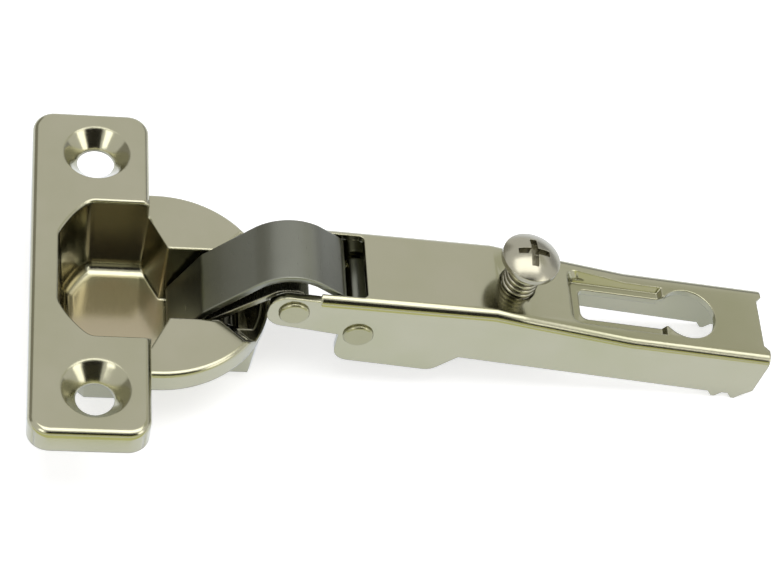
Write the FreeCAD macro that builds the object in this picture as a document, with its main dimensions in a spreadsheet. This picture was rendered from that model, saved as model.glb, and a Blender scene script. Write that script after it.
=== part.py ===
import FreeCAD, Part
import math
import os

import Sketcher

# Concealed cup hinge, drawn open as it lies on a table.
# Origin: centre of the 35 mm cup on the door's surface. +X runs from the cup
# towards the arm's rear end, +Y along the flange, +Z out of the door.
# All lengths are millimetres and all angles degrees.

doc = FreeCAD.newDocument("cup_hinge")
sheet = doc.addObject("Spreadsheet::Sheet", "sizes")

SIZES = {
    # Cup: flange, rim and pocket
    "sheet_wall": 1.0,
    "flange_left": 19.4,
    "flange_right": 1.3,
    "flange_length": 61.4,
    "flange_height": 4.5,
    "flange_corner": 3.4,
    "flange_edge": 1.1,
    "rim_radius": 17.45,
    "rim_top": 1.2,
    "rim_edge": 0.8,
    "rim_skirt": 2.6,
    "cup_depth": 11.6,
    "pocket_back": 15.2,
    "pocket_half": 12.8,
    "pocket_corner_x": -1.0,
    "neck_corner_x": 1.9,
    "neck_half": 7.0,
    "pocket_draft_angle": 4.5,
    "floor_blend": 2.2,
    "corner_blend": 2.5,
    "lip_drop": 2.2,
    "lip_start": 10.2,
    "lip_half": 8.6,
    "lip_slope_angle": 45.0,
    "mouth_edge": 0.5,
    # Screw holes in the flange
    "hole_setback": 9.5,
    "hole_spacing": 45.0,
    "hole_radius": 2.9,
    "sink_radius": 5.2,
    "sink_depth": 2.7,
    # Pivots, seen from the side, and the fold from open to closed
    "outer_pin_x": 4.4,
    "outer_pin_z": -7.9,
    "inner_pin_x": 8.0,
    "inner_pin_z": -3.6,
    "front_pivot_x": 20.24,
    "front_pivot_z": 4.75,
    "rear_pivot_u": 11.05,
    "rear_pivot_w": -3.47,
    "arm_slope_angle": 7.8,
    "pin_radius": 1.1,
    "front_shank": 1.2,
    "rear_shank": 1.3,
    "running_gap": 0.05,
    # Outer link
    "band_wall": 1.15,
    "band_half": 5.6,
    "band_rise_angle": 62.0,
    "band_rise_run": 8.8,
    "band_shoulder_bend": 2.4,
    "band_shoulder_angle": 44.8,
    "band_shoulder_run": 9.8,
    "band_crest": 7.6,
    "band_fall_angle": 36.0,
    "band_plunge_angle": 80.0,
    "band_plunge_bend": 1.7,
    "eye_curl_angle": 285.0,
    # Inner link
    "link_wall": 1.0,
    "link_half": 5.2,
    "loop_gap": 0.2,
    "loop_curl_angle": 40.0,
    "slack_along": 1.35,
    "slack_up": 0.8,
    # Arm
    "arm_width": 14.8,
    "arm_wall": 1.2,
    "arm_length": 77.4,
    "nose_reach": 4.0,
    "nose_drop": 3.5,
    "nose_top": 3.3,
    "nose_radius": 3.0,
    "nose_lean": 0.3,
    "web_start": 3.6,
    "web_front": 3.5,
    "crest_u": 31.0,
    "crest_w": 5.2,
    "shoulder_u": 36.5,
    "shoulder_w": 4.5,
    "saddle_u": 54.0,
    "web_rear": 2.65,
    "fold_radius": 1.7,
    "lug_start": 8.1,
    "lug_end": 24.6,
    "lug_depth": 10.2,
    "lug_radius": 2.6,
    "lug_front_lean": 0.6,
    "lug_rear_run": 3.4,
    "wall_depth": 6.1,
    "wall_depth_rear": 6.85,
    "tooth_depth": 1.1,
    "tooth_pitch": 3.4,
    "tooth_inset": 2.6,
    "tooth_root_half": 1.2,
    "tooth_tip_half": 0.3,
    "end_chamfer": 1.3,
    "window_end": 10.7,
    "window_margin": 1.45,
    "window_corner": 0.8,
    "notch_depth": 0.9,
    "notch_half": 4.4,
    # Keyhole slot
    "keyhole_u": 64.1,
    "keyhole_radius": 4.64,
    "slot_half": 2.9,
    "slot_start": 46.1,
    "slot_corner": 1.2,
    "sunk_depth": 0.95,
    "sunk_margin": 1.2,
    "margin_corner": 2.0,
    "sunk_end": 59.6,
    "sunk_slope_angle": 30.0,
    # Adjusting screw
    "screw_u": 34.9,
    "thread_radius": 2.9,
    "screw_head_radius": 4.6,
    "screw_head_height": 2.7,
    "screw_head_base": 10.5,
    "screw_tail": -4.2,
    "tail_neck_radius": 1.9,
    "tail_neck_length": 2.2,
    "tail_disc_height": 1.1,
    "tail_disc_radius": 2.8,
    "collar_radius": 4.3,
    "collar_depth": 2.2,
    "recess_width": 1.1,
    "recess_reach": 2.5,
    "recess_depth": 1.7,
    # Rivet heads
    "rivet_head_radius": 2.35,
    "rivet_head_height": 0.55,
    # Closing spring
    "leaf_wall": 0.6,
    "leaf_half": 4.2,
    "leaf_bend": 1.7,
    "leaf_gap": 0.3,
    "leaf_foot": 7.4,
    "leaf_front": 13.0,
}

for row, (alias, number) in enumerate(SIZES.items(), start=1):
    sheet.set("A%d" % row, alias)
    sheet.set("B%d" % row, repr(number))
    sheet.setAlias("B%d" % row, alias)
doc.recompute()


class Bound:
    """A length that knows both its value and the sheet expression behind it."""

    def __init__(self, value, text):
        self.value = value
        self.text = text

    def join(self, other, sign, value):
        text = other.text if isinstance(other, Bound) else repr(float(other))
        return Bound(value, "(%s %s %s)" % (self.text, sign, text))

    def __add__(self, other):
        return self.join(other, "+", self.value + number_of(other))

    def __sub__(self, other):
        return self.join(other, "-", self.value - number_of(other))

    def __mul__(self, other):
        return self.join(other, "*", self.value * number_of(other))

    def __truediv__(self, other):
        return self.join(other, "/", self.value / number_of(other))

    def __neg__(self):
        return Bound(-self.value, "(-1 * %s)" % self.text)


def number_of(item):
    return item.value if isinstance(item, Bound) else float(item)


def size(alias):
    return Bound(float(sheet.get(alias)), "sizes." + alias)


def put(item, prop, length):
    """Set a property, and bind it to the sheet when it comes from there."""
    if isinstance(length, Bound):
        item.setExpression(prop, length.text)
    else:
        setattr(item, prop, length)


def new_body(label):
    body = doc.addObject("PartDesign::Body", label)
    body.Label = label
    return body


def origin_feature(body, role):
    return [item for item in body.Origin.OriginFeatures if item.Role == role][0]


def new_sketch(body, name, plane, level=0.0):
    sketch = body.newObject("Sketcher::SketchObject", name)
    sketch.AttachmentSupport = (origin_feature(body, plane), [""])
    sketch.MapMode = "FlatFace"
    put(sketch, ".AttachmentOffset.Base.z" if isinstance(level, Bound) else "AttachmentOffset",
        level if isinstance(level, Bound) else FreeCAD.Placement(
            FreeCAD.Vector(0, 0, level), FreeCAD.Rotation()))
    return sketch


def pin_point(sketch, geometry, end, point):
    """Hold one end of a sketch element at bound coordinates."""
    for kind, length in (("DistanceX", point[0]), ("DistanceY", point[1])):
        index = sketch.addConstraint(
            Sketcher.Constraint(kind, -1, 1, geometry, end, number_of(length)))
        if isinstance(length, Bound):
            sketch.setExpression("Constraints[%d]" % index, length.text)


def leg(hypotenuse, side):
    """The other leg of a right-angled triangle."""
    return Bound(math.sqrt(hypotenuse.value ** 2 - side.value ** 2),
                 "sqrt(%s ^ 2 - %s ^ 2)" % (hypotenuse.text, side.text))


def circle_run(start, finish, radius, side):
    """Circular run between two corners, bulging left (1) or right (-1)."""
    ax, ay = number_of(start[0]), number_of(start[1])
    bx, by = number_of(finish[0]), number_of(finish[1])
    chord = math.hypot(bx - ax, by - ay)
    reach = math.sqrt(max(number_of(radius) ** 2 - chord ** 2 / 4, 0.0))
    cx = (ax + bx) / 2 + side * reach * (by - ay) / chord
    cy = (ay + by) / 2 - side * reach * (bx - ax) / chord
    circle = Part.Circle(FreeCAD.Vector(cx, cy, 0), FreeCAD.Vector(0, 0, 1), number_of(radius))
    first, last = math.atan2(ay - cy, ax - cx), math.atan2(by - cy, bx - cx)
    if side > 0:
        return Part.ArcOfCircle(circle, last, first), 2
    return Part.ArcOfCircle(circle, first, last), 1


def draw_outline(sketch, corners, arcs=None):
    """Closed outline through bound corners; arcs maps a corner's number to
    (radius, side) for a circular run from that corner to the next."""
    arcs = arcs or {}
    runs = []
    for index, corner in enumerate(corners):
        following = corners[(index + 1) % len(corners)]
        if index in arcs:
            curve, first_end = circle_run(corner, following, *arcs[index])
        else:
            first_end = 1
            curve = Part.LineSegment(
                FreeCAD.Vector(number_of(corner[0]), number_of(corner[1]), 0),
                FreeCAD.Vector(number_of(following[0]), number_of(following[1]), 0))
        runs.append((sketch.addGeometry(curve), first_end))
    for index, (run, first_end) in enumerate(runs):
        following, following_end = runs[(index + 1) % len(runs)]
        sketch.addConstraint(Sketcher.Constraint(
            "Coincident", run, 3 - first_end, following, following_end))
        pin_point(sketch, run, first_end, corners[index])
        if index in arcs and corners[index][0] is ZERO:
            hold_half_circle(sketch, run, ZERO)
        elif index in arcs:
            set_radius(sketch, run, arcs[index][0])


def hold_half_circle(sketch, geometry, across):
    """A half circle between two held ends needs its centre, not its radius."""
    index = sketch.addConstraint(
        Sketcher.Constraint("DistanceX", -1, 1, geometry, 3, number_of(across)))
    sketch.setExpression("Constraints[%d]" % index, across.text)


def set_radius(sketch, geometry, radius):
    index = sketch.addConstraint(Sketcher.Constraint("Radius", geometry, number_of(radius)))
    if isinstance(radius, Bound):
        sketch.setExpression("Constraints[%d]" % index, radius.text)


def draw_circle(sketch, centre, radius):
    circle = sketch.addGeometry(Part.Circle(
        FreeCAD.Vector(number_of(centre[0]), number_of(centre[1]), 0),
        FreeCAD.Vector(0, 0, 1), number_of(radius)))
    pin_point(sketch, circle, 3, centre)
    set_radius(sketch, circle, radius)


def mirrored(half_outline):
    """Corners given for +Y, repeated for -Y in the order that closes them."""
    return half_outline + [(x, -y) for x, y in reversed(half_outline)]


def add_feature(body, kind, name, sketch, length, symmetric=False, reverse=False, taper=None):
    """Pad or Pocket; stops if a cut adds nothing to or takes nothing from the body."""
    doc.recompute()
    before = body.Shape.Volume if not body.Shape.isNull() else 0.0
    feature = body.newObject("PartDesign::" + kind, name)
    feature.Profile = sketch
    feature.SideType = "Symmetric" if symmetric else "One side"
    feature.Reversed = reverse
    put(feature, "Length", length)
    if taper is not None:
        put(feature, "TaperAngle", taper)
    doc.recompute()
    change = body.Shape.Volume - before
    if (change <= 0) == (kind == "Pad"):
        raise RuntimeError("%s changes the volume by %.3f" % (name, change))
    return feature


def round_edges(body, name, radius, wanted):
    """Fillet the edges of the body's last feature whose middle point is wanted."""
    doc.recompute()
    base = body.Tip
    names = []
    for number, edge in enumerate(base.Shape.Edges, start=1):
        middle = edge.valueAt((edge.FirstParameter + edge.LastParameter) / 2)
        if wanted(edge, middle):
            names.append("Edge%d" % number)
    fillet = body.newObject("PartDesign::Fillet", name)
    fillet.Base = (base, names)
    put(fillet, "Radius", radius)
    doc.recompute()
    return fillet


def runs_along(edge, direction):
    if edge.Curve.TypeId != "Part::GeomLine":
        return False
    return abs(edge.tangentAt(edge.FirstParameter).dot(direction)) > 0.999


X_AXIS = FreeCAD.Vector(1, 0, 0)
Y_AXIS = FreeCAD.Vector(0, 1, 0)
Z_AXIS = FreeCAD.Vector(0, 0, 1)
ZERO = Bound(0.0, "0")
FAR_SIZE = Bound(40.0, "40")
SNAP = 0.01


def near(value, length):
    return abs(value - number_of(length)) < SNAP


# Cup: raised flange, half-round rim and drawn pocket, all one sheet


def pocket_outline(offset):
    """The pocket's inside outline, or its outside when offset by the wall."""
    radius = size("rim_radius") - size("sheet_wall") + offset
    back = size("pocket_back") + offset
    half = size("pocket_half") + offset
    neck = size("neck_half") + offset
    turn = offset * 0.62 if isinstance(offset, Bound) else 0.0
    return radius, [
        (leg(radius, neck), neck),
        (size("neck_corner_x") + turn, neck),
        (size("pocket_corner_x") + turn, half),
        (-leg(radius, half), half),
        (-back, leg(radius, back)),
    ]


def draw_pocket(body, name, level, offset, front=None):
    """Pocket sketch at a level; a front limit leaves the neck out of it."""
    radius, half = pocket_outline(offset)
    sketch = new_sketch(body, name, "XY_Plane", level)
    if front is None:
        corners = mirrored(half)
        draw_outline(sketch, corners, {3: (radius, -1), 5: (radius, -1), 9: (radius, -1)})
        return sketch
    corners = mirrored([(front, half[2][1]), half[3], half[4]])
    draw_outline(sketch, corners, {1: (radius, -1), 3: (radius, -1)})
    return sketch


def make_cup():
    body = new_body("cup")
    wall = size("sheet_wall")
    top = size("flange_height")
    left, right = -size("flange_left"), -size("flange_right")
    half_length = size("flange_length") / 2

    rim = new_sketch(body, "rim_outline", "XY_Plane", -size("rim_skirt"))
    foot = right - wall
    draw_outline(rim, mirrored([(ZERO, size("rim_radius")), (foot, size("rim_radius"))]),
                 {3: (size("rim_radius"), -1)})
    add_feature(body, "Pad", "rim", rim, size("rim_skirt") + size("rim_top"))
    round_edges(body, "rim_edge_bend", size("rim_edge"), lambda edge, middle: (
        near(middle.z, size("rim_top")) and near(middle.x, size("rim_radius"))))

    plate = new_sketch(body, "flange_outline", "XY_Plane")
    draw_outline(plate, mirrored([(right, half_length), (left, half_length)]))
    add_feature(body, "Pad", "flange", plate, top)
    round_edges(body, "flange_corners", size("flange_corner"),
                lambda edge, middle: (runs_along(edge, Z_AXIS)
                                      and near(abs(middle.y), half_length)))
    round_edges(body, "flange_top_edge", size("flange_edge"),
                lambda edge, middle: near(middle.z, top) and middle.x < right.value - SNAP)

    hollow = new_sketch(body, "flange_inside", "XY_Plane")
    draw_outline(hollow, mirrored([(right - wall, half_length - wall),
                                   (left + wall, half_length - wall)]))
    add_feature(body, "Pocket", "flange_hollow", hollow, top - wall, reverse=True)

    under = new_sketch(body, "rim_inside", "XY_Plane", -size("rim_skirt"))
    inner = size("rim_radius") - wall
    draw_outline(under, mirrored([(ZERO, inner), (foot - wall, inner)]), {3: (inner, -1)})
    add_feature(body, "Pocket", "rim_hollow", under,
                size("rim_skirt") + size("rim_top") - wall, reverse=True)

    # The front lip is pressed down, so a tray joins the rim and the neck there
    lip_level = size("rim_top") - size("lip_drop")
    tray = new_sketch(body, "lip_tray_outline", "XY_Plane", lip_level - wall)
    tray_half = size("lip_half") + wall
    draw_outline(tray, mirrored([(leg(size("rim_radius"), tray_half), tray_half),
                                 (size("lip_start") - wall, size("neck_half"))]),
                 {3: (size("rim_radius"), -1)})
    add_feature(body, "Pad", "lip_tray", tray, size("lip_drop") + wall / 2)

    outer = draw_pocket(body, "pocket_outside", size("rim_top") - wall * 0.9, wall)
    add_feature(body, "Pad", "pocket_wall", outer,
                size("cup_depth") + size("rim_top") - wall * 0.9,
                reverse=True, taper=-size("pocket_draft_angle"))
    upper = draw_pocket(body, "pocket_collar_outline", 0.0, wall, front=right)
    add_feature(body, "Pad", "pocket_collar", upper, top - wall / 2)

    mouth = draw_pocket(body, "pocket_inside", top, 0.0)
    add_feature(body, "Pocket", "pocket", mouth, top + size("cup_depth") - wall,
                taper=-size("pocket_draft_angle"))
    lip = new_sketch(body, "lip_outline", "XY_Plane", lip_level)
    draw_outline(lip, mirrored([
        (size("rim_radius") + wall * 3.0, size("lip_half") + wall * 2.0),
        (size("lip_start") + wall * 4.0, size("lip_half")),
        (size("lip_start"), size("lip_half") - wall * 4.0)]))
    add_feature(body, "Pocket", "lip", lip, size("lip_drop") + wall, reverse=True,
                taper=size("lip_slope_angle"))

    # Countersunk holes: a cone of sheet under the flange, then the bore
    sink_floor = top - size("sink_depth")
    for sign in (1, -1):
        name = "upper" if sign > 0 else "lower"
        spot = (-size("hole_setback"), size("hole_spacing") / 2 * float(sign))
        add_cone(body, "PartDesign::AdditiveCone", name + "_sink_wall", spot,
                 sink_floor - wall / 2, top - wall / 2,
                 size("hole_radius") + wall * 0.8, size("sink_radius") + wall * 0.6)
        add_cone(body, "PartDesign::SubtractiveCone", name + "_sink", spot,
                 sink_floor, top, size("hole_radius"), size("sink_radius"))
        bore = new_sketch(body, name + "_bore_outline", "XY_Plane", top)
        draw_circle(bore, spot, size("hole_radius"))
        add_feature(body, "Pocket", name + "_bore", bore, top)

    # Pin holes through the neck's walls
    for name, x, z in (("outer_pin", size("outer_pin_x"), size("outer_pin_z")),
                       ("inner_pin", size("inner_pin_x"), size("inner_pin_z"))):
        hole = new_sketch(body, name + "_hole_outline", "XZ_Plane")
        draw_circle(hole, (x, z), size("pin_radius"))
        add_feature(body, "Pocket", name + "_holes", hole,
                    (size("neck_half") + wall) * 2, symmetric=True)
    round_pocket(body)
    return body


def add_cone(body, kind, name, spot, low, high, low_radius, high_radius):
    """Cone on a vertical axis, widening upwards, added or taken away."""
    cone = body.newObject(kind, name)
    cone.AttachmentSupport = (origin_feature(body, "XY_Plane"), [""])
    cone.MapMode = "FlatFace"
    put(cone, "Radius1", low_radius)
    put(cone, "Radius2", high_radius)
    put(cone, "Height", high - low)
    for prop, length in ((".AttachmentOffset.Base.x", spot[0]),
                         (".AttachmentOffset.Base.y", spot[1]),
                         (".AttachmentOffset.Base.z", low)):
        cone.setExpression(prop, length.text)
    doc.recompute()


def round_pocket(body):
    """Soft bends at the pocket's corners, its floor and its mouth."""
    top = size("flange_height")
    floor = size("sheet_wall") - size("cup_depth")
    round_edges(body, "pocket_corners", size("corner_blend"), lambda edge, middle: (
        near(min(corner.Point.z for corner in edge.Vertexes), floor)
        and middle.z > floor.value / 2 and middle.x < -size("hole_setback").value))
    round_edges(body, "floor_bend", size("floor_blend"), lambda edge, middle: (
        near(middle.z, floor) and middle.x < -size("sheet_wall").value))
    round_edges(body, "mouth_bend", size("mouth_edge"), lambda edge, middle: (
        near(middle.z, top) and abs(middle.y) < size("pocket_half").value + SNAP
        and abs(middle.x) < size("pocket_back").value + SNAP))


# Arm: one folded channel, drawn along its own length with the front rivet at 0


def place_on_arm(item, along=None, out=None):
    """Sit an object in the arm's frame, which slopes down from the front pivot."""
    item.Placement = FreeCAD.Placement(
        FreeCAD.Vector(), FreeCAD.Rotation(Y_AXIS, SIZES["arm_slope_angle"]))
    item.setExpression(".Placement.Rotation.Angle", "sizes.arm_slope_angle")
    along = along.text if along else "0"
    out = out.text if out else "0"
    slope = "sizes.arm_slope_angle"
    item.setExpression(".Placement.Base.x", "sizes.front_pivot_x + %s * cos(%s) + %s * sin(%s)"
                       % (along, slope, out, slope))
    item.setExpression(".Placement.Base.z", "sizes.front_pivot_z - %s * sin(%s) + %s * cos(%s)"
                       % (along, slope, out, slope))


def web_line(drop=None):
    """The web's outer face from front to rear, or lowered by the sheet."""
    drop = drop or Bound(0.0, "0")
    return [(size("web_start"), size("web_front") - drop),
            (size("crest_u"), size("crest_w") - drop),
            (size("shoulder_u"), size("shoulder_w") - drop),
            (size("saddle_u"), size("web_rear") - drop),
            (size("arm_length"), size("web_rear") - drop)]


def tooth_corners():
    """Two small teeth under the side wall's rear end, from the rear forwards."""
    corners = []
    for index in range(2):
        middle = size("arm_length") - size("tooth_inset") - size("tooth_pitch") * float(index)
        base = -size("wall_depth_rear")
        root, tip = size("tooth_root_half"), size("tooth_tip_half")
        point = base - size("tooth_depth")
        corners += [(middle + root, base), (middle + tip, point),
                    (middle - tip, point), (middle - root, base)]
    return corners


def make_arm():
    body = new_body("arm")
    width = size("arm_width")
    wall = size("arm_wall")
    start, finish = size("web_start"), size("arm_length")

    side = new_sketch(body, "side_outline", "XZ_Plane")
    draw_outline(side, web_line() + [
        (finish, -size("wall_depth_rear") + size("end_chamfer"))] + tooth_corners() + [
        (size("lug_end") + size("lug_rear_run"), -size("wall_depth")),
        (size("lug_end"), -size("lug_depth")),
        (size("lug_start") + size("lug_front_lean"), -size("lug_depth")),
        (size("lug_start"), -size("nose_drop") - size("lug_front_lean")),
        (start, -size("nose_drop") - size("nose_lean"))])
    add_feature(body, "Pad", "channel_block", side, width, symmetric=True)
    round_edges(body, "folds", size("fold_radius"), lambda edge, middle: (
        near(abs(middle.y), width / 2) and middle.z > size("web_rear").value - SNAP))
    round_edges(body, "lug_corners", size("lug_radius"), lambda edge, middle: (
        runs_along(edge, Y_AXIS) and near(middle.z, -size("lug_depth"))))

    nose = new_sketch(body, "nose_outline", "XZ_Plane")
    reach, drop = -size("nose_reach"), -size("nose_drop")
    draw_outline(nose, [(reach, drop), (start, drop - size("nose_lean")),
                        (start, size("nose_top")),
                        (reach, size("nose_top"))])
    add_feature(body, "Pad", "nose", nose, width, symmetric=True)
    round_edges(body, "nose_corners", size("nose_radius"), lambda edge, middle: (
        runs_along(edge, Y_AXIS) and near(middle.x, reach)))

    inside = new_sketch(body, "inside_outline", "XZ_Plane")
    under = web_line(wall)
    draw_outline(inside, [(-FAR_SIZE, under[0][1])] + under[:4] + [
        (finish + FAR_SIZE, under[4][1]), (finish + FAR_SIZE, -FAR_SIZE), (-FAR_SIZE, -FAR_SIZE)])
    add_feature(body, "Pocket", "inside", inside, width - wall * 2, symmetric=True)

    open_front = new_sketch(body, "open_front_outline", "XY_Plane")
    draw_outline(open_front, mirrored([(start, width / 2 - wall), (-FAR_SIZE, width / 2 - wall)]))
    add_feature(body, "Pocket", "open_front", open_front, FAR_SIZE, reverse=True)
    window = new_sketch(body, "window_outline", "XY_Plane")
    window_half = width / 2 - size("window_margin")
    draw_outline(window, mirrored([(size("window_end"), window_half), (start - 1.0, window_half)]))
    add_feature(body, "Pocket", "window", window, FAR_SIZE, reverse=True)
    round_edges(body, "window_corners", size("window_corner"), lambda edge, middle: (
        runs_along(edge, Z_AXIS) and near(middle.x, size("window_end"))))

    cut_keyhole(body)
    seat_screw(body)
    notch = new_sketch(body, "end_notch_outline", "XY_Plane")
    notch_half = size("notch_half")
    draw_outline(notch, mirrored([
        (finish + 1.0, notch_half + size("notch_depth")),
        (finish, notch_half + size("notch_depth")),
        (finish - size("notch_depth"), notch_half)]))
    add_feature(body, "Pocket", "end_notch", notch, FAR_SIZE, reverse=True)

    for name, u, w, radius in (
            ("front_rivet", Bound(0.0, "0"), Bound(0.0, "0"), size("front_shank")),
            ("rear_rivet", size("rear_pivot_u"), size("rear_pivot_w"), size("rear_shank"))):
        hole = new_sketch(body, name + "_hole_outline", "XZ_Plane")
        draw_circle(hole, (u, w), radius)
        add_feature(body, "Pocket", name + "_holes", hole, width + 1.0, symmetric=True)
    place_on_arm(body)
    return body


def cut_keyhole(body):
    """Slot for the plate's screw, in a sunken margin, ending in a round hole."""
    wall = size("arm_wall")
    floor = size("web_rear") - size("sunk_depth")
    margin_start = size("slot_start") - size("sunk_margin")
    margin_half = size("slot_half") + size("sunk_margin")
    under = new_sketch(body, "margin_underside_outline", "XY_Plane", floor - wall)
    draw_outline(under, mirrored([(size("sunk_end"), margin_half + wall / 2),
                                  (margin_start - wall, margin_half + wall / 2)]))
    add_feature(body, "Pad", "margin_underside", under, wall + size("sunk_depth") / 2)
    round_edges(body, "margin_underside_corners", size("margin_corner") + wall / 2,
                lambda edge, middle: (runs_along(edge, Z_AXIS)
                                      and near(middle.x, margin_start - wall)))
    margin = new_sketch(body, "margin_outline", "XY_Plane", floor)
    draw_outline(margin, mirrored([(size("sunk_end"), margin_half),
                                   (margin_start, margin_half)]))
    add_feature(body, "Pocket", "margin", margin, size("sunk_depth") * 3.0, reverse=True,
                taper=size("sunk_slope_angle"))
    round_edges(body, "margin_corners", size("margin_corner"), lambda edge, middle: (
        abs(edge.Vertexes[0].Point.z - edge.Vertexes[-1].Point.z) > size("sunk_depth").value / 2
        and margin_start.value - size("sunk_depth").value < middle.x < margin_start.value + SNAP
        and margin_half.value - SNAP < abs(middle.y) < margin_half.value + wall.value))
    slot = new_sketch(body, "slot_outline", "XY_Plane", size("crest_w"))
    half = size("slot_half")
    draw_outline(slot, mirrored([(size("keyhole_u"), half), (size("slot_start"), half)]))
    add_feature(body, "Pocket", "slot", slot, size("crest_w") * 2.0)
    round_edges(body, "slot_corners", size("slot_corner"), lambda edge, middle: (
        runs_along(edge, Z_AXIS) and near(middle.x, size("slot_start"))))
    hole = new_sketch(body, "round_hole_outline", "XY_Plane", size("crest_w"))
    draw_circle(hole, (size("keyhole_u"), Bound(0.0, "0")), size("keyhole_radius"))
    add_feature(body, "Pocket", "round_hole", hole, size("crest_w") * 2.0)


def seat_screw(body):
    """A drawn collar under the web carries the adjusting screw's thread."""
    level = size("shoulder_w") - size("arm_wall") / 2
    spot = (size("screw_u"), Bound(0.0, "0"))
    collar = new_sketch(body, "collar_outline", "XY_Plane", level)
    draw_circle(collar, spot, size("collar_radius"))
    add_feature(body, "Pad", "collar", collar, size("collar_depth") + size("arm_wall") / 2,
                reverse=True)
    hole = new_sketch(body, "screw_hole_outline", "XY_Plane", size("crest_w") + 1.0)
    draw_circle(hole, spot, size("thread_radius") + size("running_gap"))
    add_feature(body, "Pocket", "screw_hole", hole, size("crest_w") + 3.0)


# Turned pieces: rivets, cup pins and the adjusting screw


def turn(body, name, plane, axis_role, profile, arcs=None):
    """Turn a closed profile (distance from the axis, place along it)."""
    sketch = new_sketch(body, name + "_profile", plane)
    draw_outline(sketch, profile, arcs)
    doc.recompute()
    revolution = body.newObject("PartDesign::Revolution", name)
    revolution.Profile = sketch
    revolution.ReferenceAxis = (origin_feature(body, axis_role), [""])
    revolution.Angle = 360.0
    doc.recompute()
    return revolution


def make_rivet(label, shank, along, out):
    """Headed rivet across the arm, its heads lying on the side walls."""
    body = new_body(label)
    seat = size("arm_width") / 2
    head = size("rivet_head_radius")
    edge = size("rivet_head_height") / 2
    crown = seat + size("rivet_head_height")
    turn(body, "turned", "XY_Plane", "Y_Axis", [
        (ZERO, -crown), (head - edge, -crown), (head, -seat - edge), (head, -seat),
        (shank, -seat), (shank, seat), (head, seat), (head, seat + edge),
        (head - edge, crown), (ZERO, crown)])
    place_on_arm(body, along, out)
    return body


def make_cup_pin(label, x, z):
    """Plain pin across the neck, chamfered where it stands out of the walls."""
    body = new_body(label)
    radius = size("pin_radius")
    reach = size("neck_half") + size("sheet_wall")
    edge = radius * 0.2
    turn(body, "turned", "XY_Plane", "Y_Axis", [
        (ZERO, -reach), (radius - edge, -reach), (radius, -reach + edge),
        (radius, reach - edge), (radius - edge, reach), (ZERO, reach)])
    body.setExpression(".Placement.Base.x", x.text)
    body.setExpression(".Placement.Base.z", z.text)
    return body


def make_adjusting_screw():
    """Raised-head screw with a cross recess and a grooved tail."""
    body = new_body("adjusting_screw")
    head, thread = size("screw_head_radius"), size("thread_radius")
    base = size("screw_head_base")
    crown = base + size("screw_head_height")
    brim = base + size("screw_head_height") * 0.35
    tail = size("screw_tail")
    disc = tail + size("tail_disc_height")
    groove = disc + size("tail_neck_length")
    profile = [(ZERO, tail), (size("tail_disc_radius"), tail), (size("tail_disc_radius"), disc),
               (size("tail_neck_radius"), disc), (size("tail_neck_radius"), groove),
               (thread, groove), (thread, base), (head, base), (head, brim), (ZERO, crown)]
    turn(body, "turned", "XZ_Plane", "Z_Axis", profile, {8: (head * 1.75, -1)})
    reach, half = size("recess_reach"), size("recess_width") / 2
    cross = new_sketch(body, "recess_outline", "XY_Plane", crown)
    draw_outline(cross, [
        (reach, -half), (reach, half), (half, half), (half, reach), (-half, reach),
        (-half, half), (-reach, half), (-reach, -half), (-half, -half), (-half, -reach),
        (half, -reach), (half, -half)])
    add_feature(body, "Pocket", "recess", cross, size("recess_depth"))
    place_on_arm(body, size("screw_u"), ZERO)
    return body


# Bent strips: the two links and the leaf spring


class Strip:
    """A strip of sheet followed along its middle, from the side (x, z)."""

    def __init__(self, start, heading, wall):
        self.point = FreeCAD.Vector(start[0], 0, start[1])
        self.heading = math.radians(heading)
        self.half = wall / 2
        self.left = []
        self.right = []

    def across(self, offset):
        """The point beside the middle line, to its left when positive."""
        return self.point + FreeCAD.Vector(
            -math.sin(self.heading), 0, math.cos(self.heading)) * offset

    def line(self, length):
        starts = [self.across(self.half), self.across(-self.half)]
        self.point = self.point + FreeCAD.Vector(
            math.cos(self.heading), 0, math.sin(self.heading)) * length
        self.left.append(Part.makeLine(starts[0], self.across(self.half)))
        self.right.append(Part.makeLine(starts[1], self.across(-self.half)))
        return self

    def bend(self, radius, turn_by):
        """Bend to the right by turn_by degrees, or left when it is negative."""
        side = 1.0 if turn_by > 0 else -1.0
        centre = self.across(-side * radius)
        steps = []
        for _ in range(3):
            steps.append((self.across(self.half), self.across(-self.half)))
            if len(steps) < 3:
                self.heading -= math.radians(turn_by) / 2
                self.point = centre
                self.point = self.across(side * radius)
        self.left.append(Part.Arc(*[step[0] for step in steps]).toShape())
        self.right.append(Part.Arc(*[step[1] for step in steps]).toShape())
        return self

    def solid(self, half_width):
        first = Part.makeLine(self.left[0].valueAt(self.left[0].FirstParameter),
                              self.right[0].valueAt(self.right[0].FirstParameter))
        last = Part.makeLine(self.left[-1].valueAt(self.left[-1].LastParameter),
                             self.right[-1].valueAt(self.right[-1].LastParameter))
        edges = Part.sortEdges(self.left + [last] + self.right + [first])[0]
        face = Part.Face(Part.Wire(edges))
        face.translate(FreeCAD.Vector(0, -half_width, 0))
        return face.extrude(FreeCAD.Vector(0, 2 * half_width, 0))


def number(alias):
    return float(sheet.get(alias))


def heading_vector(heading):
    """Unit vector to the left of a heading in degrees, as (x, z)."""
    turned = math.radians(heading)
    return -math.sin(turned), math.cos(turned)


def solve_pair(first, second, target):
    """Lengths along two directions that add up to the target."""
    det = first[0] * second[1] - first[1] * second[0]
    return ((target[0] * second[1] - target[1] * second[0]) / det,
            (first[0] * target[1] - first[1] * target[0]) / det)


def rear_pivot():
    slope = math.radians(number("arm_slope_angle"))
    u, w = number("rear_pivot_u"), number("rear_pivot_w")
    return (number("front_pivot_x") + u * math.cos(slope) + w * math.sin(slope),
            number("front_pivot_z") - u * math.sin(slope) + w * math.cos(slope))


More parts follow.
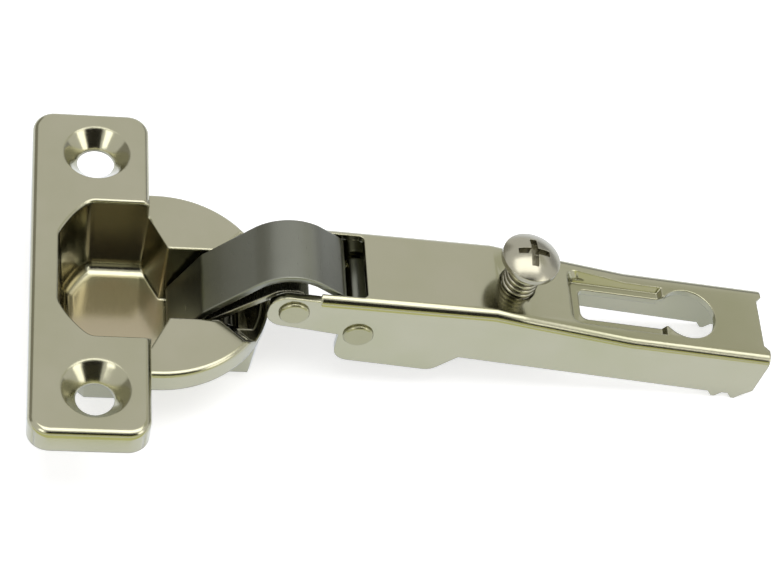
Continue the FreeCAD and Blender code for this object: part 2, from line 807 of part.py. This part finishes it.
def add_strip_part(label, shape):
    part = doc.addObject("Part::Feature", label)
    part.Label = label
    part.Shape = shape
    return part


def make_outer_link():
    """Arched band: rolled round the cup pin, over the front pivot, through the
    web's window and rolled round the rear rivet."""
    wall, gap = number("band_wall"), number("running_gap")
    front_eye = number("pin_radius") + gap + wall / 2
    rear_eye = number("rear_shank") + gap + wall / 2
    rise, shoulder = number("band_rise_angle"), number("band_shoulder_angle")
    fall, plunge = -number("band_fall_angle"), -number("band_plunge_angle")
    curl = number("eye_curl_angle")
    start = heading_vector(rise + curl)
    pin = (number("outer_pin_x"), number("outer_pin_z"))
    strip = Strip((pin[0] + front_eye * start[0], pin[1] + front_eye * start[1]),
                  rise + curl, wall)
    strip.bend(front_eye, curl).line(number("band_rise_run"))
    strip.bend(number("band_shoulder_bend"), rise - shoulder)
    strip.line(number("band_shoulder_run"))
    strip.bend(number("band_crest"), shoulder - fall)
    # Two straight runs, joined by one bend, have to meet the rear eye
    bend = number("band_plunge_bend")
    before, after = heading_vector(fall), heading_vector(plunge)
    rear = rear_pivot()
    target = [rear[k] - (rear_eye + bend) * after[k] + bend * before[k] - strip.point[2 * k]
              for k in (0, 1)]
    down, into = solve_pair((before[1], -before[0]), (after[1], -after[0]), target)
    strip.line(down).bend(bend, fall - plunge).line(into)
    strip.bend(rear_eye, -curl)
    return add_strip_part("outer_link", strip.solid(number("band_half")))


def make_inner_link():
    """Flat link: rolled round the inner cup pin, and a longer loop in front.
    The front rivet has play in that loop, because the four pivots can't all
    keep constant ratios between open and closed."""
    wall, gap = number("link_wall"), number("running_gap")
    cup_eye = number("pin_radius") + gap + wall / 2
    loop = number("front_shank") + number("loop_gap") + wall / 2
    pin = (number("inner_pin_x"), number("inner_pin_z"))
    pivot = (number("front_pivot_x"), number("front_pivot_z"))
    chord = math.degrees(math.atan2(pivot[1] - pin[1], pivot[0] - pin[0]))
    along, aside = heading_vector(chord), heading_vector(chord + 90)
    back = [pivot[k] + number("slack_up") * along[k] + number("slack_along") * aside[k]
            for k in (0, 1)]
    distance = math.hypot(back[0] - pin[0], back[1] - pin[1])
    bearing = math.degrees(math.atan2(back[1] - pin[1], back[0] - pin[0]))
    rise = bearing + math.degrees(math.asin((loop - cup_eye) / distance))
    length = math.sqrt(distance ** 2 - (loop - cup_eye) ** 2)
    slack = math.hypot(number("slack_up"), number("slack_along"))
    tilt = math.degrees(math.atan2(pivot[1] - back[1], pivot[0] - back[0]))
    curl = number("eye_curl_angle")
    start = heading_vector(rise + curl)
    strip = Strip((pin[0] + cup_eye * start[0], pin[1] + cup_eye * start[1]), rise + curl, wall)
    strip.bend(cup_eye, curl).line(length).bend(loop, rise - tilt).line(slack)
    strip.bend(loop, 180.0).line(slack).bend(loop, number("loop_curl_angle"))
    return add_strip_part("inner_link", strip.solid(number("link_half")))


def make_closing_spring():
    """Bent leaf on the pocket's floor, bearing on the inner link's eye."""
    wall, bend = number("leaf_wall"), number("leaf_bend")
    floor = number("sheet_wall") - number("cup_depth")
    eye = number("pin_radius") + number("running_gap") + number("link_wall")
    foot = number("leaf_foot")
    strip = Strip((foot, floor + wall / 2), 0.0, wall)
    strip.line(number("leaf_front") - bend - wall / 2 - foot).bend(bend, -90.0)
    height = number("inner_pin_z") - (floor + wall / 2) - 2 * bend
    strip.line(height).bend(bend, -90.0)
    reach = (number("leaf_front") - bend - wall / 2 - number("inner_pin_x")
             - eye - number("leaf_gap"))
    strip.line(max(reach, wall / 2))
    return add_strip_part("closing_spring", strip.solid(number("leaf_half")))


def main():
    pieces = [
        make_cup(),
        make_arm(),
        make_outer_link(),
        make_inner_link(),
        make_rivet("front_rivet", size("front_shank"), ZERO, ZERO),
        make_rivet("rear_rivet", size("rear_shank"), size("rear_pivot_u"), size("rear_pivot_w")),
        make_cup_pin("outer_cup_pin", size("outer_pin_x"), size("outer_pin_z")),
        make_cup_pin("inner_cup_pin", size("inner_pin_x"), size("inner_pin_z")),
        make_adjusting_screw(),
        make_closing_spring(),
    ]
    doc.recompute()
    for item in doc.Objects:
        if "Invalid" in item.State or "Error" in item.State:
            raise RuntimeError("failed: " + item.Name)
    os.makedirs("parts", exist_ok=True)
    for piece in pieces:
        if piece.Shape.isNull() or not piece.Shape.isValid():
            raise RuntimeError("bad shape: " + piece.Label)
        print(piece.Label, len(piece.Shape.Solids), round(piece.Shape.Volume, 1))
    for piece in pieces:
        piece.Shape.exportStep("parts/%s.step" % piece.Label)


main()
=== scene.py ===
# %% [markdown]
# # A concealed cup hinge, dressed for the camera
#
# The hinge arrives as a finished CAD part: cup, arched link, arm, rivets and
# screw are solids with exact sizes. This lesson gives them what a solid lacks:
# soft edges that catch light, plated steel that shows its rolling marks, a
# screw thread, and a studio to stand in.

# %% Load the frame
import math

import bmesh
import bpy
from mathutils import Euler, Matrix, Vector


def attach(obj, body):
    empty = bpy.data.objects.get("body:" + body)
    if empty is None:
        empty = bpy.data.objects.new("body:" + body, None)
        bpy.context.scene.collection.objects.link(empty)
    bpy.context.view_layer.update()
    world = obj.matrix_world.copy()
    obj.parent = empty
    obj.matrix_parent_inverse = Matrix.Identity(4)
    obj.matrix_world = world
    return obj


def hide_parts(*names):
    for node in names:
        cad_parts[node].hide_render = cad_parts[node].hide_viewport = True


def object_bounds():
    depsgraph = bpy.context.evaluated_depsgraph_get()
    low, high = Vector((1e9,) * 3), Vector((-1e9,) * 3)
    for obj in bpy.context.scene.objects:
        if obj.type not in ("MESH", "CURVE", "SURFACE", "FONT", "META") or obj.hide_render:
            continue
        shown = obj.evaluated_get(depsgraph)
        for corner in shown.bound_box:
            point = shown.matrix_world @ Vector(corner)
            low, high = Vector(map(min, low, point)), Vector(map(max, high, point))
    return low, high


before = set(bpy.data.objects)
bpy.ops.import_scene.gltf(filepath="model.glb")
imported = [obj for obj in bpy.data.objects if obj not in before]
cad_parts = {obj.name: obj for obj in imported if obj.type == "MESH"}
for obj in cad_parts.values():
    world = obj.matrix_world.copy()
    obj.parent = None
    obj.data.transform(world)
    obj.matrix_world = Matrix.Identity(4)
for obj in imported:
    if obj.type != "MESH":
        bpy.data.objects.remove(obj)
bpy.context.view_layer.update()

scene = bpy.context.scene
MM = 0.001
print("nodes:", ", ".join(sorted(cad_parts)))

# %% [markdown]
# ## The arm's own directions
#
# The arm slopes down from its front rivet. Places on it could be written in the
# hinge's directions, but then every number would hide the slope. So one matrix
# holds the slope, and places are given along the arm's own directions: u along
# the arm, w out of its web. The screw further down is placed with it.

# %% The arm's directions
FRONT_RIVET = Vector((20.24, 0.0, 4.75)) * MM
ARM_SLOPE = math.radians(7.8)
ARM_END = Vector((77.4, 0.0, 2.65)) * MM
ARM_FRAME = Matrix.Translation(FRONT_RIVET) @ Matrix.Rotation(ARM_SLOPE, 4, "Y")
print("arm's rear end at", [round(c, 4) for c in ARM_FRAME @ ARM_END])

# %% [markdown]
# ## Node graphs in a few words
#
# Each finish below is a small graph of shader nodes. It could be drawn by hand
# in the shader editor. Written out, it is the same in every run, and a change is
# one number. Three helpers keep the graphs short: one adds a node and sets it
# up, one clears a graph, and one starts a metal. A value that is the same
# everywhere goes straight on the shader's own socket.

# %% Helpers: a node, a graph and a metal
def add_node(tree, kind, **settings):
    """Add a node, and set its inputs or its own settings by name."""
    node = tree.nodes.new(kind)
    for name, value in settings.items():
        if name in node.inputs:
            node.inputs[name].default_value = value
        else:
            setattr(node, name, value)
    return node


def empty_graph(owner):
    """Clear the node graph of a material or of the world."""
    owner.use_nodes = True
    owner.node_tree.nodes.clear()
    return owner.node_tree


def start_metal(name):
    """A material with one metal shader, which still needs its colour."""
    material = bpy.data.materials.new(name)
    tree = empty_graph(material)
    shader = add_node(tree, "ShaderNodeBsdfPrincipled", Metallic=1.0)
    output = add_node(tree, "ShaderNodeOutputMaterial")
    tree.links.new(shader.outputs["BSDF"], output.inputs["Surface"])
    return material, tree, shader


print("helpers for graphs: add_node, empty_graph, start_metal")

# %% [markdown]
# ## Marks with a direction
#
# Rolled and brushed metal has marks that run one way. They could be painted in
# an image, but an image has to be wrapped round the piece and shows its seams.
# Noise on the object's own coordinates needs no wrapping and stays on the piece
# when it moves, and scaling an axis up makes the marks thin along it. Two tones
# turn the noise into colour, and a range turns it into a number, such as a
# roughness.

# %% Helpers: noise, tones and numbers
TONE_STOPS = (0.32, 0.68)


def stretched_noise(tree, stretch, scale, detail=4.0, roughness=0.55):
    """Noise on the object's own coordinates, pulled out along some axes."""
    place = add_node(tree, "ShaderNodeTexCoord")
    mapping = add_node(tree, "ShaderNodeMapping", Scale=stretch)
    noise = add_node(tree, "ShaderNodeTexNoise", Scale=scale, Detail=detail, Roughness=roughness)
    tree.links.new(place.outputs["Object"], mapping.inputs["Vector"])
    tree.links.new(mapping.outputs["Vector"], noise.inputs["Vector"])
    return noise.outputs["Fac"]


def two_tones(tree, source, deep, pale):
    """Colour noise from a deep tone to a pale one."""
    node = add_node(tree, "ShaderNodeValToRGB")
    for element, stop, tone in zip(node.color_ramp.elements, TONE_STOPS, (deep, pale)):
        element.position = stop
        element.color = (*tone, 1.0)
    tree.links.new(source, node.inputs["Fac"])
    return node.outputs["Color"]


def spread(tree, source, low, high, start=0.3, stop=0.7):
    """Turn noise into a number between low and high."""
    node = add_node(tree, "ShaderNodeMapRange")
    for socket, value in (("From Min", start), ("From Max", stop),
                          ("To Min", low), ("To Max", high)):
        node.inputs[socket].default_value = value
    tree.links.new(source, node.inputs["Value"])
    return node.outputs["Result"]


print("tones change between", TONE_STOPS[0], "and", TONE_STOPS[1], "of the noise")

# %% [markdown]
# ## Relief and rounded edges in the shading
#
# The marks have a little depth, and every edge of real sheet is rounded. Both
# could be modelled, but a relief of hundredths of a millimetre takes millions
# of faces, and where edges lie close together the mesh has no room for a wide
# bevel. So the Bump node bends the light as the marks would, and the Bevel node
# before it bends it over the edges.

# %% Helper: relief over rounded edges
RELIEF_HEIGHT = 0.03 * MM
BEVEL_SAMPLES = 8


def relief_over_edges(tree, shader, source, strength, rounding):
    """A fine relief from noise, over edges rounded by some millimetres."""
    relief = add_node(tree, "ShaderNodeBump", Strength=strength, Distance=RELIEF_HEIGHT)
    soft = add_node(tree, "ShaderNodeBevel", Radius=rounding * MM, samples=BEVEL_SAMPLES)
    tree.links.new(source, relief.inputs["Height"])
    tree.links.new(soft.outputs["Normal"], relief.inputs["Normal"])
    tree.links.new(relief.outputs["Normal"], shader.inputs["Normal"])


print("relief:", round(RELIEF_HEIGHT / MM, 3), "mm, edges sampled", BEVEL_SAMPLES, "times")

# %% [markdown]
# ## Painted shade in the pocket
#
# The metal in the pocket is painted browner. This is painted shade: it stands in
# for the warm, dim light inside the hollow. The faces in there could have a
# material of their own, but its border would show as a line. Here the tint
# depends on the distance from the pocket's middle, so it fades in.

# %% Helper: painted shade inside a hollow
def paint_shade_inside(tree, tone, middle, radius, tint, fade=2.0):
    """Blend towards a tint of painted shade within some millimetres of a place."""
    place = add_node(tree, "ShaderNodeTexCoord")
    away = add_node(tree, "ShaderNodeVectorMath", operation="DISTANCE")
    away.inputs[1].default_value = Vector(middle) * MM
    mix = add_node(tree, "ShaderNodeMix", data_type="RGBA")
    tree.links.new(place.outputs["Object"], away.inputs[0])
    near = spread(tree, away.outputs["Value"], 1.0, 0.0,
                  start=radius * MM, stop=(radius + fade) * MM)
    tree.links.new(near, mix.inputs["Factor"])
    tree.links.new(tone, mix.inputs["A"])
    mix.inputs["B"].default_value = (*tint, 1.0)
    return mix.outputs["Result"]


# The pocket's middle and reach in millimetres, and the tint of its painted shade.
POCKET_SHADE = ((-6.0, 2.0, -5.0), 8.5, (0.4, 0.348, 0.236))
print("pocket's tint reaches", POCKET_SHADE[1], "mm from", POCKET_SHADE[0])

# %% [markdown]
# ## Nickel-plated sheet steel
#
# The cup and the arm are pressed from sheet and plated with nickel. Nickel is
# warmer than chrome: it leans towards a pale straw colour. The plating is
# bright but not a mirror, with faint clouds left by the bath and very fine
# marks along the direction in which the strip was rolled. One colour and one
# roughness would look like grey plastic. So the clouds go into the colour, and
# the marks go into the roughness and a very low relief.

# %% Finishes: cup, arm, pins and spring
CLOUD_SCALE = 70.0
MARK_SCALE = 500.0


def nickel_sheet(name, pale, deep, along=(1.0, 14.0, 14.0), gloss=(0.13, 0.18),
                 relief=0.02, rounding=0.35, painted_shade=None):
    """Plated metal between two tones, with marks thin across their run."""
    material, tree, shader = start_metal(name)
    clouds = stretched_noise(tree, (1.0, 1.0, 1.0), CLOUD_SCALE, detail=3.0)
    tone = two_tones(tree, clouds, deep, pale)
    # Where a hollow is given, its tone is blended towards a browner painted shade.
    if painted_shade:
        tone = paint_shade_inside(tree, tone, *painted_shade)
    tree.links.new(tone, shader.inputs["Base Color"])
    marks = stretched_noise(tree, along, MARK_SCALE, roughness=0.6)
    tree.links.new(spread(tree, marks, *gloss), shader.inputs["Roughness"])
    relief_over_edges(tree, shader, marks, relief, rounding)
    print("finish:", name)
    return material


# The cup's pocket gets a browner painted shade, which fades in from its middle.
sheet_finish = nickel_sheet("nickel_sheet", (0.4, 0.385, 0.285), (0.366, 0.357, 0.25),
                            along=(14.0, 1.0, 14.0), rounding=0.6, painted_shade=POCKET_SHADE)
arm_finish = nickel_sheet("nickel_arm", (0.385, 0.373, 0.272), (0.36, 0.356, 0.243))
pin_finish = nickel_sheet("nickel_pin", (0.33, 0.32, 0.21), (0.29, 0.282, 0.175),
                          gloss=(0.2, 0.28))
spring_finish = nickel_sheet("spring_steel", (0.24, 0.235, 0.22), (0.19, 0.187, 0.175))

# %% [markdown]
# ## The links' darker steel
#
# The arched link isn't as bright as the cup and the arm. Its plating is thinner
# and lies on brushed strip, so it is a darker, greener grey with a softer
# shine, and the brushing runs across the band. The same helper makes it, with
# the marks stretched across the band, deeper, and less glossy.

# %% Finishes: the links
band_finish = nickel_sheet("nickel_band", (0.215, 0.22, 0.185), (0.19, 0.194, 0.163),
                           along=(16.0, 0.6, 16.0), gloss=(0.27, 0.36), relief=0.05)
inner_finish = nickel_sheet("nickel_inner", (0.3, 0.29, 0.22), (0.26, 0.252, 0.19),
                            along=(16.0, 0.6, 16.0), gloss=(0.24, 0.34), relief=0.05)

# %% [markdown]
# ## The screw's plating
#
# The adjusting screw is turned and tumbled before it is plated, so it is
# smoother than sheet and hardly shows marks. Its head is a small dome, in which
# the whole studio shows as soft lights and darks. The rounding in its shading is
# narrow, because a wide one would run together in the cross recess.

# %% Finish: the screw
screw_finish = nickel_sheet("bright_screw", (0.39, 0.375, 0.3), (0.31, 0.295, 0.225),
                            gloss=(0.2, 0.27), relief=0.01, rounding=0.12)

# %% [markdown]
# ## Soft edges on the CAD pieces
#
# A CAD node is a bag of loose triangles with knife edges. Real pressed sheet
# has edges rounded by the tool and by tumbling, and those edges carry the
# bright lines that make metal look like metal. They could be fillets in the
# CAD, but hundreds of tiny faces would slow every other tool down. So each
# visible node gets a stand-in: a copy whose doubles are merged and whose
# triangles are joined to whole faces, with a narrow bevel on its sharp edges,
# and normals weighted by face area, which keeps flat faces flat. The shading
# adds the rest of the rounding and leaves the mesh alone.

# %% Helpers: an object, and a merged copy
SAME_PLACE = 0.001 * MM
FLAT_WITHIN = math.radians(0.5)
ANY_CORNER = math.radians(170.0)


def add_object(name, data):
    """Put a mesh, a lamp or a camera in the scene."""
    piece = bpy.data.objects.new(name, data)
    scene.collection.objects.link(piece)
    return piece


def merged_copy(node, finish, reshape=None):
    """A copy of a node's mesh with its faces joined up, smooth, in one finish."""
    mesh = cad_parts[node].data.copy()
    mesh.name = node + "_look"
    work = bmesh.new()
    work.from_mesh(mesh)
    bmesh.ops.remove_doubles(work, verts=work.verts, dist=SAME_PLACE)
    bmesh.ops.join_triangles(work, faces=work.faces, angle_face_threshold=FLAT_WITHIN,
                             angle_shape_threshold=ANY_CORNER)
    if reshape:
        for vert in work.verts:
            vert.co = reshape(vert.co)
    for face in work.faces:
        face.smooth = True
    work.to_mesh(mesh)
    work.free()
    mesh.materials.clear()
    mesh.materials.append(finish)
    return mesh


print("vertices merge within", round(SAME_PLACE / MM, 4), "mm")

# %% Helper: a stand-in with soft edges
SHARP_EDGE = math.radians(32.0)
BEVEL_STEPS = 3
FLAT_WEIGHT = 80


def soft_copy(node, finish, body, edge=0.12, reshape=None):
    """A stand-in for a node, with sharp edges bevelled by some millimetres."""
    mesh = merged_copy(node, finish, reshape)
    piece = add_object(node + "_look", mesh)
    bevel = piece.modifiers.new("soft_edges", "BEVEL")
    bevel.width = edge * MM
    bevel.segments = BEVEL_STEPS
    bevel.limit_method = "ANGLE"
    bevel.angle_limit = SHARP_EDGE
    bevel.use_clamp_overlap = True
    flat = piece.modifiers.new("flat_faces", "WEIGHTED_NORMAL")
    flat.weight = FLAT_WEIGHT
    flat.keep_sharp = True
    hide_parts(node)
    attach(piece, body)
    print(node, "becomes", len(mesh.polygons), "faces")


print("edges sharper than", round(math.degrees(SHARP_EDGE)), "degrees get a bevel")

# %% The cup and the arm
soft_copy("cup", sheet_finish, "cup", edge=0.15)
soft_copy("arm", arm_finish, "arm", edge=0.15)

# %% The links and the rivets
soft_copy("outer_link", band_finish, "outer_link", edge=0.18)
soft_copy("inner_link", inner_finish, "inner_link", edge=0.15)
for rivet in ("front_rivet", "rear_rivet"):
    soft_copy(rivet, pin_finish, "arm", edge=0.12)

# %% [markdown]
# ## The adjusting screw
#
# The screw sets how far the door overlaps the cabinet, and its thread runs in
# the arm's web. The CAD screw has a plain shank as thick as its thread. A thread
# could be cut in the CAD, which is slow and heavy, or shown as a bump, which
# leaves the outline smooth. Here the shank shrinks to the thread's root, and the
# next step winds a real thread round it.

# %% The screw's body
SCREW_U = 34.9
THREAD_RADIUS, ROOT_RADIUS = 2.9, 2.5
THREAD_START, THREAD_END = -0.9, 10.5
THREAD_PITCH = 1.05
SHANK_WITHIN, END_WITHIN = 0.06, 0.05
SCREW_FRAME = ARM_FRAME @ Matrix.Translation(Vector((SCREW_U, 0.0, 0.0)) * MM)


def shrink_shank(place):
    """Draw the shank in to the thread's root, and leave the rest."""
    local = SCREW_FRAME.inverted() @ place
    radius = math.hypot(local.x, local.y) / MM
    height = local.z / MM
    on_shank = abs(radius - THREAD_RADIUS) < SHANK_WITHIN
    if on_shank and THREAD_START - END_WITHIN < height < THREAD_END + END_WITHIN:
        local.x *= ROOT_RADIUS / radius
        local.y *= ROOT_RADIUS / radius
    return SCREW_FRAME @ local


soft_copy("adjusting_screw", screw_finish, "adjusting_screw", edge=0.14,
          reshape=shrink_shank)

# %% [markdown]
# ## The screw's thread
#
# A thread repeats along a helix. It could be one turn with an Array modifier,
# which joins badly at the seams, or a Screw modifier, which needs its profile
# drawn first. Geometry Nodes suit it better: a spiral carries a four-sided
# profile, and the tree's inputs are the sizes that a machinist would name. The
# result is made a plain mesh before the thread rides on the screw's body.

# %% A tree that winds a thread
TURN_STEPS, PROFILE_CORNERS = 36, 4


def thread_tree(finish):
    """A node tree for a thread, and its inputs' identifiers by name."""
    tree = bpy.data.node_groups.new("thread", "GeometryNodeTree")
    sockets = tree.interface.new_socket
    sizes = {name: sockets(name, in_out="INPUT", socket_type="NodeSocketFloat")
             for name in ("Root radius", "Depth", "Pitch", "Length")}
    sockets("Geometry", in_out="OUTPUT", socket_type="NodeSocketGeometry")
    given = add_node(tree, "NodeGroupInput")
    turns = add_node(tree, "ShaderNodeMath", operation="DIVIDE")
    helix = add_node(tree, "GeometryNodeCurveSpiral", Resolution=TURN_STEPS)
    upright = add_node(tree, "GeometryNodeSetCurveNormal", mode="Z_UP")
    profile = add_node(tree, "GeometryNodeCurvePrimitiveCircle", Resolution=PROFILE_CORNERS)
    sweep = add_node(tree, "GeometryNodeCurveToMesh")
    sweep.inputs["Fill Caps"].default_value = True
    real = add_node(tree, "GeometryNodeRealizeInstances")
    painted = add_node(tree, "GeometryNodeSetMaterial", Material=finish)
    result = add_node(tree, "NodeGroupOutput")
    join = tree.links.new
    join(given.outputs["Length"], turns.inputs[0])
    join(given.outputs["Pitch"], turns.inputs[1])
    join(turns.outputs[0], helix.inputs["Rotations"])
    join(given.outputs["Root radius"], helix.inputs["Start Radius"])
    join(given.outputs["Root radius"], helix.inputs["End Radius"])
    join(given.outputs["Length"], helix.inputs["Height"])
    join(given.outputs["Depth"], profile.inputs["Radius"])
    join(helix.outputs["Curve"], upright.inputs["Curve"])
    join(upright.outputs["Curve"], sweep.inputs["Curve"])
    join(profile.outputs["Curve"], sweep.inputs["Profile Curve"])
    join(sweep.outputs["Mesh"], real.inputs["Geometry"])
    join(real.outputs["Geometry"], painted.inputs["Geometry"])
    join(painted.outputs["Geometry"], result.inputs["Geometry"])
    return tree, {name: socket.identifier for name, socket in sizes.items()}


tree, key = thread_tree(screw_finish)
print("inputs of the thread:", ", ".join(key))

# %% The thread
CREST_GAP = 0.02
depth = THREAD_RADIUS - ROOT_RADIUS - CREST_GAP
winder = add_object("thread_winder", bpy.data.meshes.new("thread_winder"))
winding = winder.modifiers.new("thread", "NODES")
winding.node_group = tree
winding[key["Root radius"]] = ROOT_RADIUS * MM
winding[key["Depth"]] = depth * MM
winding[key["Pitch"]] = THREAD_PITCH * MM
winding[key["Length"]] = (THREAD_END - THREAD_START - 2 * depth) * MM
evaluated = winder.evaluated_get(bpy.context.evaluated_depsgraph_get())
wound = bpy.data.meshes.new_from_object(evaluated)
bpy.data.objects.remove(winder)
wound.name = "screw_thread"
thread_foot = Vector((0.0, 0.0, THREAD_START + depth)) * MM
wound.transform(SCREW_FRAME @ Matrix.Translation(thread_foot))
thread = add_object("screw_thread", wound)
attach(thread, "adjusting_screw")
print("thread:", len(wound.polygons), "faces")

# %% [markdown]
# ## Pieces inside the cup
#
# Two pins carry the links in the cup, and a leaf spring snaps the door shut.
# They could have stand-ins too, but they lie inside the cup and their edges
# hardly show. So they keep their CAD meshes and only get a finish.

# %% Finishes for the hidden pieces
for node, finish in (("outer_cup_pin", pin_finish), ("inner_cup_pin", pin_finish),
                     ("closing_spring", spring_finish)):
    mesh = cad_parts[node].data
    if not mesh.materials:
        mesh.materials.append(finish)
    for index in range(len(mesh.materials)):
        mesh.materials[index] = finish
    print(node, "gets", finish.name)

# %% [markdown]
# ## The floor
#
# The hinge lies on white. A glowing white floor would swallow its shadow, and a
# painted one would need so much light that the metal burns out. So the floor
# answers each kind of ray by itself: it is ordinary pale paint to most light,
# part glow and part paint to the camera, and a little cooler in the metal, which
# sets the arm's grey sides off from its straw-coloured top.

# %% The floor's paint
def white_ground(name):
    """Pale to light, white to the eye with the shadow kept, cooler in the metal."""
    material = bpy.data.materials.new(name)
    tree = empty_graph(material)
    output = add_node(tree, "ShaderNodeOutputMaterial")
    rays = add_node(tree, "ShaderNodeLightPath")
    paint = add_node(tree, "ShaderNodeBsdfDiffuse", Color=(0.82, 0.82, 0.82, 1.0)).outputs[0]
    for ray, share, glow in (("Is Glossy Ray", 0.7, (0.6, 0.645, 0.745)),
                             ("Is Camera Ray", 0.85, (0.56, 0.56, 0.565))):
        matt = add_node(tree, "ShaderNodeBsdfDiffuse", Color=(share, share, share, 1.0))
        light = add_node(tree, "ShaderNodeEmission", Color=(*glow, 1.0), Strength=1.0)
        both = add_node(tree, "ShaderNodeAddShader")
        pick = add_node(tree, "ShaderNodeMixShader")
        tree.links.new(matt.outputs[0], both.inputs[0])
        tree.links.new(light.outputs[0], both.inputs[1])
        tree.links.new(rays.outputs[ray], pick.inputs["Fac"])
        tree.links.new(paint, pick.inputs[1])
        tree.links.new(both.outputs[0], pick.inputs[2])
        paint = pick.outputs[0]
    tree.links.new(paint, output.inputs["Surface"])
    return material


ground = white_ground("white_ground")
print("floor's paint:", len(ground.node_tree.nodes), "nodes")

# %% The floor
def level_corners(left, right, near, far, height):
    """The corners of a level sheet, counter-clockwise from above."""
    return [(left, near, height), (right, near, height),
            (right, far, height), (left, far, height)]


def one_face(name, corners, paint):
    """An object with a single face in one paint."""
    mesh = bpy.data.meshes.new(name)
    mesh.from_pydata(corners, [], [(0, 1, 2, 3)])
    mesh.materials.append(paint)
    return add_object(name, mesh)


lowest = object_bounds()[0][2]
reach = 1.5
floor = one_face("floor", level_corners(-reach, reach, -reach, reach, lowest), ground)
print("floor at", round(lowest / MM, 2), "mm")

# %% [markdown]
# ## World and lamps
#
# A photographer's room is mostly dim, with a few large soft lamps. A picture of
# a whole room could light the hinge, but its windows and walls would show in the
# metal. Here the world is a dim room to most light and plain white to the camera
# and in reflections. One soft lamp overhead draws the bright line along the
# arm's fold, and one on each side in front fills the walls that the first one
# leaves dark.

# %% World
world = bpy.data.worlds.new("studio")
scene.world = world
air = empty_graph(world)
rays = add_node(air, "ShaderNodeLightPath")
seen = add_node(air, "ShaderNodeMath", operation="MAXIMUM")
dim = add_node(air, "ShaderNodeBackground", Color=(1.0, 0.99, 0.97, 1.0), Strength=0.45)
white = add_node(air, "ShaderNodeBackground", Color=(1.0, 1.0, 1.0, 1.0), Strength=1.0)
choose = add_node(air, "ShaderNodeMixShader")
world_out = add_node(air, "ShaderNodeOutputWorld")
air.links.new(rays.outputs["Is Camera Ray"], seen.inputs[0])
air.links.new(rays.outputs["Is Glossy Ray"], seen.inputs[1])
air.links.new(seen.outputs[0], choose.inputs["Fac"])
air.links.new(dim.outputs[0], choose.inputs[1])
air.links.new(white.outputs[0], choose.inputs[2])
air.links.new(choose.outputs[0], world_out.inputs["Surface"])
print("room light:", round(dim.inputs["Strength"].default_value, 2))

# %% Lamps
def soft_lamp(name, place, aim, size, power, warmth=(1.0, 1.0, 1.0)):
    """A rectangular lamp that shines from a place towards an aim, in metres."""
    lamp = bpy.data.lights.new(name, "AREA")
    lamp.shape = "RECTANGLE"
    lamp.size, lamp.size_y = size
    lamp.energy = power
    lamp.color = warmth
    holder = add_object(name, lamp)
    holder.location = place
    holder.rotation_euler = (Vector(aim) - Vector(place)).to_track_quat("-Z", "Y").to_euler()
    print("lamp:", name, power, "W")


soft_lamp("overhead", (0.15, -0.03, 0.62), (0.15, -0.03, 0), (0.7, 0.4), 2.15)
soft_lamp("front_left", (-0.4, -0.47, 0.44), (0.03, 0, 0), (0.26, 0.26), 0.55)
soft_lamp("front_right", (0.53, -0.34, 0.31), (0.03, 0, 0), (0.26, 0.26), 0.5,
          warmth=(1.0, 0.98, 0.94))

# %% [markdown]
# ## Cards for the metal
#
# Bright metal in a white room has no edges: every rounded corner shows the same
# white. Photographers stand cards round such an object, just outside the
# picture, and each corner then carries a dark line beside its bright one. The
# same lines could be painted on the metal, but they would stay put when the
# hinge moves. The dark card in front draws the dark line along the arm's fold,
# and the straw-coloured ones, at its foot and flat on the table, draw the yellow
# line under it. Only glossy rays see the cards, so they take no light away.

# %% Helpers: cards
CARD_CENTRE = Vector((0.03, 0.0, 0.0))


def make_card(name, corners, shade):
    """A plain sheet that only reflections can see."""
    paint = bpy.data.materials.new(name)
    tree = empty_graph(paint)
    glow = add_node(tree, "ShaderNodeEmission", Color=(*shade, 1.0), Strength=1.0)
    output = add_node(tree, "ShaderNodeOutputMaterial")
    tree.links.new(glow.outputs[0], output.inputs["Surface"])
    card = one_face(name, corners, paint)
    card.visible_camera = False
    card.visible_diffuse = False
    card.visible_shadow = False
    print("card:", name)


def upright_card(name, bearing, low, high, half_width, shade, distance=0.8):
    """An upright card round the hinge; bearings and heights in degrees."""
    corners = []
    for turn, rise in ((-half_width, low), (half_width, low),
                       (half_width, high), (-half_width, high)):
        across = math.radians(bearing + turn)
        place = Vector((math.cos(across), math.sin(across), math.tan(math.radians(rise))))
        corners.append(CARD_CENTRE + place * distance)
    make_card(name, corners, shade)


print("cards stand round", [round(c, 3) for c in CARD_CENTRE])

# %% Cards round the hinge
upright_card("card_front", 280.0, 14.0, 50.0, 30.0, (0.03, 0.028, 0.025))
upright_card("card_front_foot", 272.0, 5.0, 14.0, 45.0, (0.95, 0.95, 0.45))
upright_card("card_left", 140.0, 2.0, 34.0, 34.0, (0.42, 0.41, 0.37))
upright_card("card_right", 40.0, 2.0, 22.0, 26.0, (0.5, 0.5, 0.52))
upright_card("card_back", 30.0, 34.0, 70.0, 24.0, (0.76, 0.76, 0.66), distance=0.35)

# %% The card on the table
table = lowest + 0.3 * MM
make_card("card_table", level_corners(-0.25, 0.4, -0.2, -0.042, table), (1.05, 1.08, 0.58))

# %% [markdown]
# ## Camera
#
# The camera looks down on the open hinge from in front. A short lens close by
# would spread the flange and the arm apart. The long lens keeps their sides
# nearly parallel, as in the photograph, and its place, turn and length were
# fitted to the spacing of the cup's two screw holes. The standard view keeps
# colours as they are written.

# %% Camera
CAMERA_PLACE = (-0.029765, -0.250141, 0.326911)
CAMERA_TURN = (37.59981, -8.65757, -3.66167)
camera = bpy.data.cameras.new("camera")
camera.lens = 124.15
camera.sensor_width = 36.0
viewer = add_object("camera", camera)
viewer.location = CAMERA_PLACE
viewer.rotation_euler = Euler([math.radians(turn) for turn in CAMERA_TURN], "XYZ")
scene.camera = viewer
scene.view_settings.view_transform = "Standard"
print("camera lens", round(camera.lens, 2), "mm")
